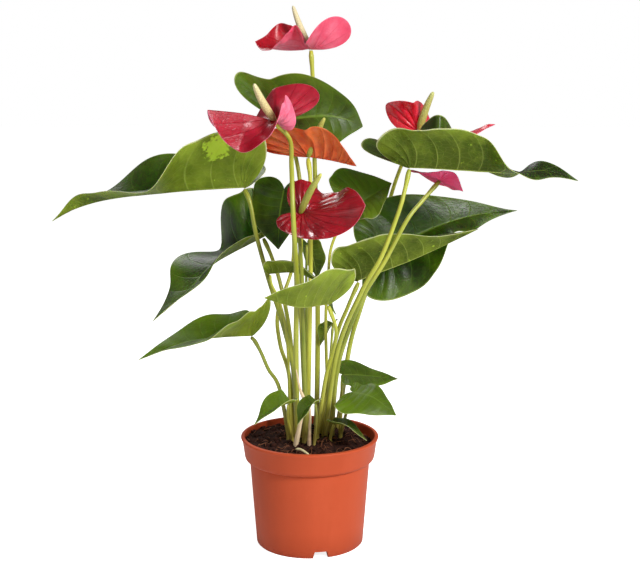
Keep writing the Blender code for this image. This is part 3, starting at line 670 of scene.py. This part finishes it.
def bent(leaf, half, flat):
    """Points of a flat half heart on the folded, bent blade, and the directions up from it."""
    whole, on_spine, directions = blade_frame(leaf)
    x, y = flat[:, 0], flat[:, 1]
    sign = 2 * half - 1
    reach = np.maximum(x, 0)
    along, right, over = directions(reach)
    share = np.clip(-x / leaf["back"][half], 0, 1)
    base_folds = [angles[0] for angles in leaf["fold"]]
    change = leaf.get("lobe_fold", base_folds)[half] - base_folds[half]
    fold = np.radians(along_blade(reach, leaf["fold"][half]) + change * share * (2 - share))
    curl = leaf.get("curl", 0)
    if np.isscalar(curl):
        curl = ((curl, curl), (curl, curl))
    curl = np.radians(along_blade(reach, curl[half]))
    shares = (np.arange(BEND_SAMPLES) + 0.5) / BEND_SAMPLES
    angles = fold[:, None] + (curl * y)[:, None] * shares
    wide = y * leaf["width"][half] * (1 + leaf.get("flare", (0, 0))[half] * share)
    out = wide * np.cos(angles).mean(axis=1)
    up = wide * np.sin(angles).mean(axis=1)
    place = on_spine(reach) + right * (out * sign)[:, None] + over * up[:, None]
    lift = math.radians(leaf.get("lift", (0, 0))[half])
    behind = (np.minimum(x, 0) * whole)[:, None]
    place += behind * (along * math.cos(lift) - over * math.sin(lift))
    edge = (fold + curl * y)[:, None]
    return place, over * np.cos(edge) - right * sign * np.sin(edge)


def blade_sheet(leaf, lines, steps, veins, relief, wave, fan=False):
    """A heart folded and bent along its midrib, quilted between its side veins.

    relief: height of the quilting, wave: swing of the margin."""
    def placing(u, v):
        points = np.zeros((len(u), 3))
        for half, sign in enumerate((-1, 1)):
            pick = (v * 2 - 1) * sign >= 0
            s, r = u[pick], np.abs(v[pick] * 2 - 1)
            flat = flat_heart(s, r, leaf["back"][half], leaf["full"], fan)
            place, normal = bent(leaf, half, flat)
            cell = np.abs((s * veins) % 1 - 0.5) * 2
            margin_wide = heart_margin(s, leaf["back"][half], leaf["full"])[:, 1]
            quilt = (1 - cell ** 2.2) * np.sin(math.pi * np.clip(r, 0, 1)) ** 0.7
            quilt *= 0.3 + 0.7 * margin_wide
            if fan:
                quilt *= 0.4 + 0.6 * np.clip((s - 0.35) / 0.2, 0, 1)
            swing = np.sin(math.tau * (s * MARGIN_WAVES + 0.3 * half)) * r ** 2 * (1 - s) * s * 4
            rise_out = relief * quilt + wave * swing
            points[pick] = place + normal * rise_out[:, None]
        return points

    sheet = shaped_grid(lines, steps * 2, placing)
    sheet.normal_update()
    _, on_spine, directions = blade_frame(leaf)
    return sheet, on_spine(np.zeros(1))[0], directions(np.zeros(1))[2][0]


def thicken(piece, thickness):
    """Give a sheet its thickness: below it the second finish, then round it off."""
    wall = piece.modifiers.new("thickness", "SOLIDIFY")
    wall.thickness = thickness * MM
    wall.offset = 0.0
    wall.material_offset = 1
    wall.material_offset_rim = 1
    rounding = piece.modifiers.new("rounding", "SUBSURF")
    rounding.levels = 1
    rounding.render_levels = 1


def vein_masks(tree, veins, thin, fade):
    """Masks of the side veins, the midrib and the margin from a blade's UV map."""
    uv = add(tree, "TexCoord", {}, out="UV")
    s = add(tree, "SeparateXYZ", {"Vector": uv}, out="X")
    v = add(tree, "SeparateXYZ", {"Vector": uv}, out="Y")
    off = add(tree, "Math", {0: v, 1: 0.5}, operation="SUBTRACT")
    r = times(tree, add(tree, "Math", {0: off}, operation="ABSOLUTE"), 2.0)
    count = times(tree, s, float(veins))
    near = add(tree, "Math", {0: count, 1: 0.5}, operation="PINGPONG")
    side = ramp(tree, near, 0.0, thin, 1.0, 0.0, interpolation_type="SMOOTHSTEP")
    ebb = ramp(tree, r, 0.35, 1.0, 1.0, fade)
    side = times(tree, side, ebb)
    midrib = ramp(tree, r, 0.015, 0.05, 1.0, 0.0, interpolation_type="SMOOTHSTEP")
    margin = ramp(tree, r, 0.965, 0.995)
    net_place = add(tree, "CombineXYZ", {"X": times(tree, s, veins * 3.0),
                                         "Y": times(tree, r, 11.0)})
    net = add(tree, "TexVoronoi", {"Vector": net_place, "Scale": 1.0}, out="Distance",
              feature="DISTANCE_TO_EDGE")
    net = ramp(tree, net, 0.0, 0.09, 1.0, 0.0)
    return side, midrib, margin, net, r


def lay_over(tree, colour, *layers):
    """Lay colours over one another; a layer is its mask, its strength and its colour."""
    for mask, strength, tint in layers:
        share = times(tree, mask, strength)
        colour = mix(tree, share, colour, tint)
    return colour


def leaf_side(name, palette, roughness, gloss, relief):
    """One side of the leaves: palette is dark, light, vein and margin colour.

    The mottling is about 26 mm wide and the skin's grain about 0.9 mm."""
    dark, light, vein, margin_highlight = (paint(c) for c in palette)
    finish, tree, socket = new_finish(name, Roughness=roughness, Specular_IOR_Level=gloss,
                                      Subsurface_Weight=0.3, Subsurface_Scale=0.003,
                                      Subsurface_Radius=(0.5, 1.0, 0.1))
    side, midrib, margin, net, r = vein_masks(tree, LEAF_VEINS, 0.05, 0.25)
    place = add(tree, "TexCoord", {}, out="Object")
    # a piece's tone; on the blades it is partly painted light and shade
    tone = add(tree, "Attribute", {}, out="Fac", attribute_name="tone")
    mottle = clouds(tree, place, 38.0, 6.0, 0.62)
    mottle = ramp(tree, mottle, 0.32, 0.68, -0.3, 0.3)
    # a blade is palest towards its margin
    outer = ramp(tree, r, 0.55, 1.0, 0.0, 0.3, interpolation_type="SMOOTHSTEP")
    share = plus(tree, plus(tree, tone, outer), mottle, use_clamp=True)
    colour = mix(tree, share, dark, light)
    # the margin colour is a painted highlight along the rolled edge
    colour = lay_over(tree, colour, (net, 0.07, vein), (side, 0.28, vein),
                      (midrib, 0.85, vein), (margin, 0.7, margin_highlight))
    grain = clouds(tree, place, 1100.0, 2.0)
    bump = bumps(tree, 0.12, 0.0003, grain)
    lines = plus(tree, side, times(tree, net, 0.35))
    bump = bumps(tree, abs(relief), 0.0006, lines, bump, invert=relief < 0)
    tree.links.new(bump, socket["Normal"])
    return finish, tree, socket, colour, place


# upper side: thick waxy cuticle, deep green, glossy, veins sunken
leaf_upper, tree, socket, colour, place = leaf_side(
    "glossy_leaf_upper_side", ("#1f2705", "#5c7312", "#687c2a", "#a3aa66"), 0.36, 0.3, -0.35)
tree.links.new(colour, socket["Base Color"])

# lower side: paler and duller, veins raised; one leaf has a yellow-green, ragged blotch
leaf_lower, tree, socket, colour, place = leaf_side(
    "matt_leaf_lower_side", ("#47540a", "#97a834", "#b4bf5c", "#d6dbaa"), 0.48, 0.15, 0.4)
BLOTCH = (-75.0, -20.0, 348.0)
BLOTCH_RADIUS = 17.0
apart = add(tree, "VectorMath", {0: place, 1: tuple(c * MM for c in BLOTCH)}, out="Value",
            operation="DISTANCE")
ragged = clouds(tree, place, 240.0, 4.0)
near = ramp(tree, apart, 0.3 * BLOTCH_RADIUS * MM, BLOTCH_RADIUS * MM, 0.75, 0.25)
blotch = ramp(tree, plus(tree, near, ragged), 0.92, 1.05)
colour = mix(tree, blotch, colour, "#c2e244")
tree.links.new(colour, socket["Base Color"])

for turn, (name, leaf) in enumerate(LEAVES.items()):
    size = sum(leaf["width"]) / 2
    big = size > BIG_LEAF
    shape, base, over = blade_sheet(
        leaf, lines=72 if big else 48, steps=16 if big else 10, veins=LEAF_VEINS,
        relief=LEAF_RELIEF * size, wave=LEAF_WAVE * size)
    blade = finish_piece(name + "_blade", shape, [leaf_upper, leaf_lower], "leaf_green", name)
    # the tone is partly painted light and shade
    tint_piece(blade, LEAF_TONE_AND_LIGHT[name])
    thicken(blade, BLADE_THICKNESS)
    plant_stem(name.replace("leaf", "petiole"), leaf["stem"], leaf["radius"], base, over, turn)

# ---- flowers -------------------------------------------------------------------------
# Each flower is a waxy heart-shaped spathe with strong ribs and a finger-like spadix,
# packed with tiny flowers, that stands on it; both sit on a long stalk.
#
# The sizes read as for the leaves. colour: the material slot of the spathe. spadix: the
# far end of the spadix, which starts where the midrib does.
FLOWERS = {
    "top": dict(
        colour="spathe_red", spadix=(-15, 77, 465), spadix_radius=3.0,
        spine=((1, 71, 427), (-22, 75, 426), (-41, 79, 429), (-49, 81, 434)), width=(32, 34),
        fold=((15, 40, 52, 36, 22, 8, 0, 0), (30, 30, 35, 55, 80, 90)), back=(0.72, 0.2),
        lobe_fold=(85, 30), flare=(0.35, 0), lift=(-10, 12), full=1.3, curl=-20,
        radius=(2.4, 1.8),
        stem=((6, 29), (7, 45, 182), (6, 55, 267), (4, 65, 337), (3, 70, 392))),
    "left": dict(
        colour="spathe_red", spadix=(-44, -40, 400), spadix_radius=3.4,
        spine=((-28, -20, 369), (-53, -34, 376), (-81, -50, 380)), width=(34, 32),
        fold=((-14, -45, -80, -85, -85, -80), (74, 10, -20, -30, -30, -30, -30, -30)),
        back=(0.22, 0.68), flare=(0, 0.3), lift=(-30, 16), full=1.6,
        curl=((170, 170, 90, 0, 0, 0), (-25, -25)), radius=(2.4, 1.8),
        stem=((-11, -13), (-11, -23, 140), (-11, -36, 189), (-10, -52, 242), (-12, -63, 287),
              (-13, -61, 311), (-14, -46, 335), (-16, -19, 354))),
    "orange": dict(
        colour="spathe_orange", spadix=(13, -2, 371), spadix_radius=3.0,
        spine=((-1, 8, 337), (20, 4, 334), (40, 0, 330)), width=(9, 38),
        fold=((60, 76), (52, 60, 62, 60, 58, 55)), back=(0.9, 1.1), lobe_fold=(80, 66),
        flare=(0, -0.2), lift=(-6, -6), full=0.8, curl=-20, radius=(2.3, 1.7),
        stem=((-2, -2), (0, -6, 191), (1, -5, 243), (1, -3, 277), (1, 1, 316))),
    "front": dict(
        colour="spathe_red", spadix=(10, -62, 330), spadix_radius=3.0,
        spine=((-7, -36, 295), (20, -42, 298), (46, -50, 303)), width=(30, 24),
        fold=((15, 0, -33, -30, -8, 0), (20, 15, 5, -5, -10, -10)), roll=(-62, -62),
        back=(0.2, 0.36), lift=(0, 35), full=1.6, curl=-15, radius=(2.2, 1.6),
        stem=((-4, -15), (-4, -24, 140), (-5, -30, 187), (-6, -32, 239), (-8, -33, 278))),
    "right_back": dict(
        colour="spathe_red", spadix=(107, 40, 391), spadix_radius=3.4,
        spine=((96, 52, 356), (120, 47, 357), (141, 44, 355), (162, 41, 363)), width=(34, 30),
        fold=((76, 12, -8, -8, -6, 0, 10, 60), (-12, -8, -5, -5, 0, 10)), back=(0.42, 0.3),
        flare=(0.6, 0), lift=(-12, -5), full=0.7, curl=((100, 20, 0, 0, 0, 0, 0, 0), (-10, -10)),
        radius=(2.2, 1.6),
        stem=((17, 33), (29, 52, 162), (54, 78, 222), (72, 84, 290), (80, 76, 318),
              (88, 60, 341))),
    "right_pink": dict(
        colour="spathe_pink", spadix=(113, 30, 322), spadix_radius=2.4,
        spine=((111, 12, 317), (121, 10, 313), (131, 8, 308)), width=(24, 17),
        fold=((-16, -16), (46, 48, 52, 56, 58, 50)), back=(1.2, 1.2), lobe_fold=(-12, 2),
        full=0.9, curl=((0, 0), (-10, -10)), radius=(2.3, 1.7),
        stem=((19, 5), (23, -6, 150), (30, -10, 181), (45, -16, 221), (64, -13, 252),
              (82, -7, 285), (95, 2, 300))),
}
SPATHE_THICKNESS = 0.6
SPATHE_VEINS = 10
SPADIX_ROUND = 20
QUILTED = "orange"         # the spathe that bulges between side veins, as a leaf does
SPATHE_RELIEF = {"orange": 0.12, "left": 0.025, "top": 0.03}   # quilting, as for a leaf
OTHER_RELIEF = 0.06
SPATHE_WAVE = 0.04
# places along a spadix, its thickness there as a share of the greatest, and how far its
# middle bows out
SPADIX_SHARES = (0, 0.05, 0.12, 0.2, 0.32, 0.45, 0.6, 0.74, 0.86, 0.93, 0.97, 0.99, 1.0)
SPADIX_TAPER = (0.5, 0.72, 0.88, 0.96, 1.0, 0.98, 0.9, 0.8, 0.68, 0.56, 0.42, 0.26, 0.0)
SPADIX_BOW = 1.2


def spathe_side(name, palette, roughness, gloss, relief):
    """One side of a spathe: palette is deep, bright and rib colour.

    The mottling is about 14 mm wide."""
    deep, bright, rib = (paint(c) for c in palette)
    finish, tree, socket = new_finish(name, Roughness=roughness, Coat_Weight=gloss,
                                      Coat_Roughness=0.2, Specular_IOR_Level=0.3,
                                      Subsurface_Weight=0.5, Subsurface_Scale=0.004,
                                      Subsurface_Radius=(1.0, 0.3, 0.3))
    side, midrib, margin, net, r = vein_masks(tree, SPATHE_VEINS, 0.09, 0.4)
    place = add(tree, "TexCoord", {}, out="Object")
    mottle = clouds(tree, place, 70.0, 4.0)
    share = ramp(tree, mottle, 0.32, 0.68)
    colour = mix(tree, share, deep, bright)
    # the darker rib colour is partly the ribs' own and, on the upper sides where the ribs are
    # sunken, partly painted shade in the creases
    colour = lay_over(tree, colour, (side, 0.45, rib), (net, 0.22, rib), (midrib, 0.5, rib))
    tree.links.new(colour, socket["Base Color"])
    lines = plus(tree, side, times(tree, net, 0.2))
    bump = bumps(tree, abs(relief), 0.0007, lines, invert=relief < 0)
    tree.links.new(bump, socket["Normal"])
    return finish


# Upper side and lower side of each spathe: name, palette, roughness, gloss and relief.
# The upper sides are deeper and smoother, with sunken ribs; the lower sides are paler
# and satin, with raised ribs.
SPATHE_SIDES = {
    "top": (("lacquer_red_spathe_top", ("#920a1c", "#bc182c", "#700814"), 0.3, 0.2, -0.5),
            ("pink_spathe_underside_top", ("#f4486c", "#ff7890", "#e0385a"), 0.45, 0.05, 0.4)),
    "left": (("lacquer_red_spathe_left", ("#8e0a1e", "#b01a32", "#6e0816"), 0.36, 0.12, -0.6),
             ("pink_spathe_underside_left", ("#f4587a", "#ff90a8", "#e04064"), 0.4, 0.15, 0.6)),
    "orange": (("brick_spathe_upper", ("#d2441a", "#f2602a", "#9c2a0e"), 0.25, 0.4, -0.8),
               ("brick_spathe_underside", ("#e0501e", "#ff8446", "#ac3414"), 0.34, 0.3, 0.8)),
    "front": (("lacquer_red_spathe_front", ("#720512", "#9a0c1e", "#50040c"), 0.2, 0.5, -0.9),
              ("pink_spathe_underside_front", ("#dd4a63", "#ee7386", "#c73850"),
               0.4, 0.15, 0.6)),
    "right_back": (("lacquer_red_spathe_back", ("#dc1c32", "#f43a50", "#a81228"),
                    0.25, 0.4, -0.8),
                   ("crimson_spathe_underside_back", ("#d84460", "#f0788c", "#a82038"),
                    0.4, 0.2, 0.7)),
    "right_pink": (("rose_spathe_upper", ("#d81f52", "#ee3c6c", "#b31642"), 0.25, 0.4, -0.5),
                   ("rose_spathe_underside", ("#ff3c74", "#ff6490", "#ec2c60"),
                    0.4, 0.15, 0.5)),
}
SPADIX_COLOURS = {         # base, tip
    "top": ("#fbe9ac", "#fdf3cc"), "left": ("#f8e294", "#fdf4c4"),
    "orange": ("#9aa62c", "#dadc6c"), "front": ("#98a42c", "#e6e878"),
    "right_back": ("#b4c44c", "#dfe594"), "right_pink": ("#c4cf74", "#e6e8b4"),
}


def spadix_finish(name, base_colour, tip_colour):
    """Tiny flowers packed in rows: a fine pimpled skin, waxy, paler to the tip."""
    finish, tree, socket = new_finish(name, Roughness=0.5)
    uv = add(tree, "TexCoord", {}, out="UV")
    place = add(tree, "TexCoord", {}, out="Object")
    share = add(tree, "SeparateXYZ", {"Vector": uv}, out="Y")
    colour = mix(tree, share, base_colour, tip_colour)
    # a floret is about 1.1 mm across
    cells = add(tree, "TexVoronoi", {"Vector": place, "Scale": 1 / (1.1 * MM)},
                out="Distance")
    # painted shade: darker towards the gaps between the florets, where the relief is lowest
    floret_gap_shade = ramp(tree, cells, 0.1, 0.6, 0.0, 0.35)
    colour = mix(tree, floret_gap_shade, colour, "#8f7a3a")
    tree.links.new(colour, socket["Base Color"])
    bump = bumps(tree, 0.7, 0.0006, cells, invert=True)
    tree.links.new(bump, socket["Normal"])
    return finish


for turn, (name, flower) in enumerate(FLOWERS.items()):
    size = sum(flower["width"]) / 2
    shape, base, over = blade_sheet(flower, lines=80, steps=18, veins=SPATHE_VEINS,
                                    relief=SPATHE_RELIEF.get(name, OTHER_RELIEF) * size,
                                    wave=SPATHE_WAVE * size, fan=name != QUILTED)
    sides = [spathe_side(*side) for side in SPATHE_SIDES[name]]
    spathe = finish_piece(name + "_spathe", shape, sides, flower["colour"], "spathe_" + name)
    thicken(spathe, SPATHE_THICKNESS)

    end = np.array(flower["spadix"], float)
    start = base + over * 0.2
    shares = np.array(SPADIX_SHARES)
    bow = np.cross(end - start, (0, 1, 0))
    bow *= SPADIX_BOW / np.linalg.norm(bow)
    route = (start + (end - start) * shares[:, None]
             + bow * np.sin(math.pi * shares)[:, None])
    shape = tube_along(route, np.array(SPADIX_TAPER) * flower["spadix_radius"], SPADIX_ROUND)
    skin = spadix_finish("spadix_florets_" + name, *SPADIX_COLOURS[name])
    finish_piece(name + "_spadix", shape, [skin], "spadix_cream", "spadix_" + name)
    plant_stem("stalk_" + name, flower["stem"], flower["radius"], base, over, turn + 1)

# ---- dry sheaths -----------------------------------------------------------------------
# Papery remains of the bracts that once wrapped the young leaves: pale, fibrous strips
# that stand against the stems and peel away from them.
SHEATHS = {
    "dry_sheath_long": dict(
        spine=((-12, -22, 100), (-7, -28, 117), (-4, -30, 133), (-8, -31, 146), (-11, -31, 162)),
        width=2.3, turn=0),
    "dry_sheath_short": dict(
        spine=((0, -22, 103), (1, -27, 119), (0, -29, 133)),
        width=1.9, turn=20),
}
SHEATH_THICKNESS = 0.35

# dried bract: thin, ribbed along its length, straw to cream coloured with brown stains
dry_finish, tree, socket = new_finish("dried_papery_bract", Roughness=0.7)
uv = add(tree, "TexCoord", {}, out="UV")
place = add(tree, "TexCoord", {}, out="Object")
fibres = clouds(tree, add(tree, "Mapping", {"Vector": uv, "Scale": (26, 2.5, 1)}), 1.0, 4.0)
stain = clouds(tree, place, 70.0, 3.0)
colour = mix(tree, fibres, "#dfb98a", "#f6e8c4")
colour = mix(tree, ramp(tree, stain, 0.52, 0.72, 0.0, 0.8), colour, "#8e3f26")
tree.links.new(colour, socket["Base Color"])
tree.links.new(bumps(tree, 0.5, 0.0004, fibres), socket["Normal"])


def sheath_strip(spine, width, turn):
    """A strip curved across like a gutter that narrows to a frayed point."""
    route = smooth_route(spine, 6)

    def placing(u, v):
        k = v * (len(route) - 1)
        middle = np.stack([np.interp(k, np.arange(len(route)), route[:, j])
                           for j in range(3)], axis=1)
        wide = width * (1 - 0.78 * v ** 1.3) * (1 + 0.08 * np.sin(v * 23))
        angle = np.radians(-65 + 130 * u + 90 + turn + 14 * np.sin(v * 5))
        return middle + np.stack([wide * np.cos(angle), -wide * np.sin(angle),
                                  0.8 * np.sin(u * 9 + v * 4)], axis=1)

    return shaped_grid(14, 40, placing)


for name, sheath in SHEATHS.items():
    foot = (*sheath["spine"][0][:2], CROWN_Z - 1)
    shape = sheath_strip((foot, *sheath["spine"][1:]), sheath["width"], sheath["turn"])
    strip = finish_piece(name + "_strip", shape, [dry_finish, dry_finish], "dry_sheath", name)
    thicken(strip, SHEATH_THICKNESS)

# ---- studio ----------------------------------------------------------------------------
# A white floor and sky, a soft key light from the right, weaker lights from the left and
# from behind, and a camera that looks slightly down.
CAMERA_DOWN = 10.15
floor_shape = bmesh.new()
bmesh.ops.create_grid(floor_shape, x_segments=1, y_segments=1, size=6.0)
floor = new_object("studio_floor", new_mesh("studio_floor", floor_shape))
floor_finish, tree, socket = new_finish("white_studio_paper", Roughness=0.9)
socket["Base Color"].default_value = paint("#f6f6f6")
socket["Emission Color"].default_value = (1, 1, 1, 1)
seen = add(tree, "LightPath", {}, out="Is Camera Ray")
tree.links.new(ramp(tree, seen, 0.0, 1.0, 0.0, 0.85), socket["Emission Strength"])
floor.data.materials.append(floor_finish)

world = bpy.data.worlds.new("studio")
bpy.context.scene.world = world
world.use_nodes = True
sky = world.node_tree.nodes["Background"].inputs["Strength"]
world.node_tree.nodes["Background"].inputs["Color"].default_value = (1, 1, 1, 1)
seen = add(world.node_tree, "LightPath", {}, out="Is Camera Ray")
world.node_tree.links.new(ramp(world.node_tree, seen, 0.0, 1.0, 0.18, 1.0), sky)


def soft_light(name, spot, aim, size, power):
    """A square soft box that looks at a point."""
    lamp = bpy.data.lights.new(name, "AREA")
    lamp.size = size
    lamp.energy = power
    light = new_object(name, lamp)
    light.visible_camera = False
    light.location = spot
    light.rotation_euler = (Vector(aim) - Vector(spot)).to_track_quat("-Z", "Y").to_euler()


soft_light("key_light", (0.85, -1.0, 1.0), (0, 0, 0.25), 0.5, 25)
soft_light("fill_light", (-1.2, -0.9, 0.7), (0, 0, 0.25), 1.0, 3.5)
soft_light("back_light", (-0.5, 1.1, 1.3), (0, 0, 0.3), 0.7, 7)

camera_data = bpy.data.cameras.new("camera")
camera_data.sensor_width = 36.0
camera_data.lens = 73.5
camera = new_object("camera", camera_data)
camera.location = (0.009, -1.1, 0.429)
camera.rotation_euler = (math.radians(90 - CAMERA_DOWN), 0, 0)
bpy.context.scene.camera = camera
bpy.context.scene.view_settings.view_transform = "Standard"
